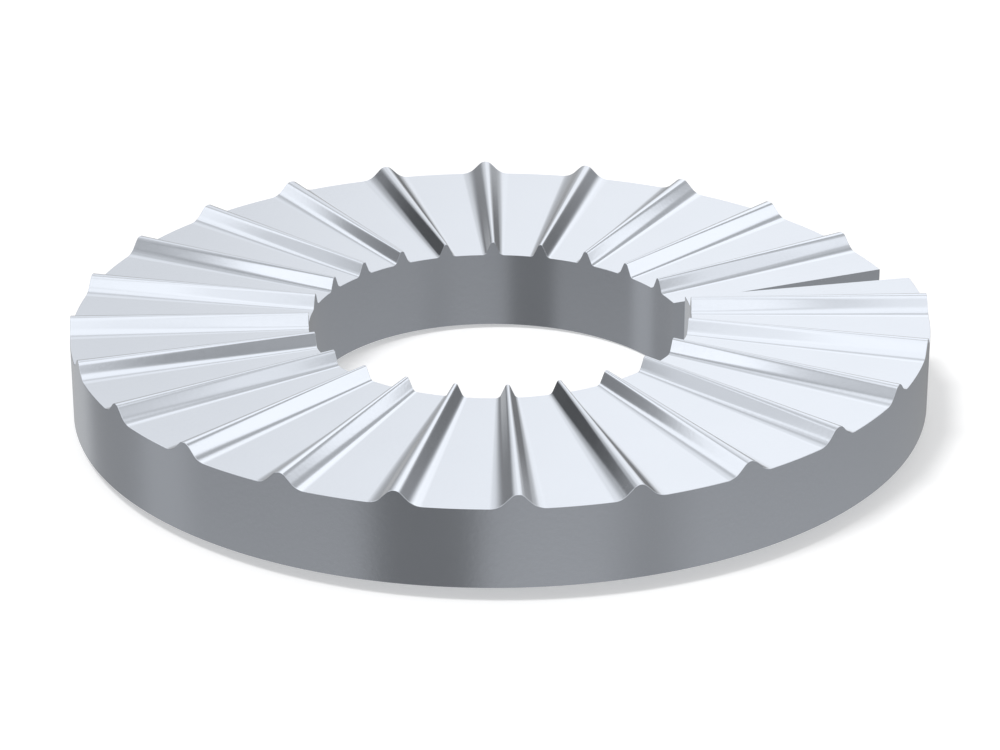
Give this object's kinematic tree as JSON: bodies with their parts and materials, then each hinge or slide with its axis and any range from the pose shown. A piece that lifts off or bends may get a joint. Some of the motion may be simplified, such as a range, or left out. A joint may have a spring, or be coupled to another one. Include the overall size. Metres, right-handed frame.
{
  "type": "ribbed lock washer",
  "caption": "Split lock washer: a helical steel ring with rounded radial ribs pressed into its upper face, sprung and gripping under a nut or bolt head.",
  "frame": {"origin": "on the axis of the bore, level with the lowest point of the underside", "axes": "+Z along the bore and out of the ribbed face; +X through the middle of the split"},
  "size_m": [0.0291, 0.0292, 0.0039],
  "materials": {
    "steel": "bright plated spring steel, smooth, with a soft sheen"
  },
  "bodies": {
    "root": {"washer": "steel"}
  },
  "joints": []
}
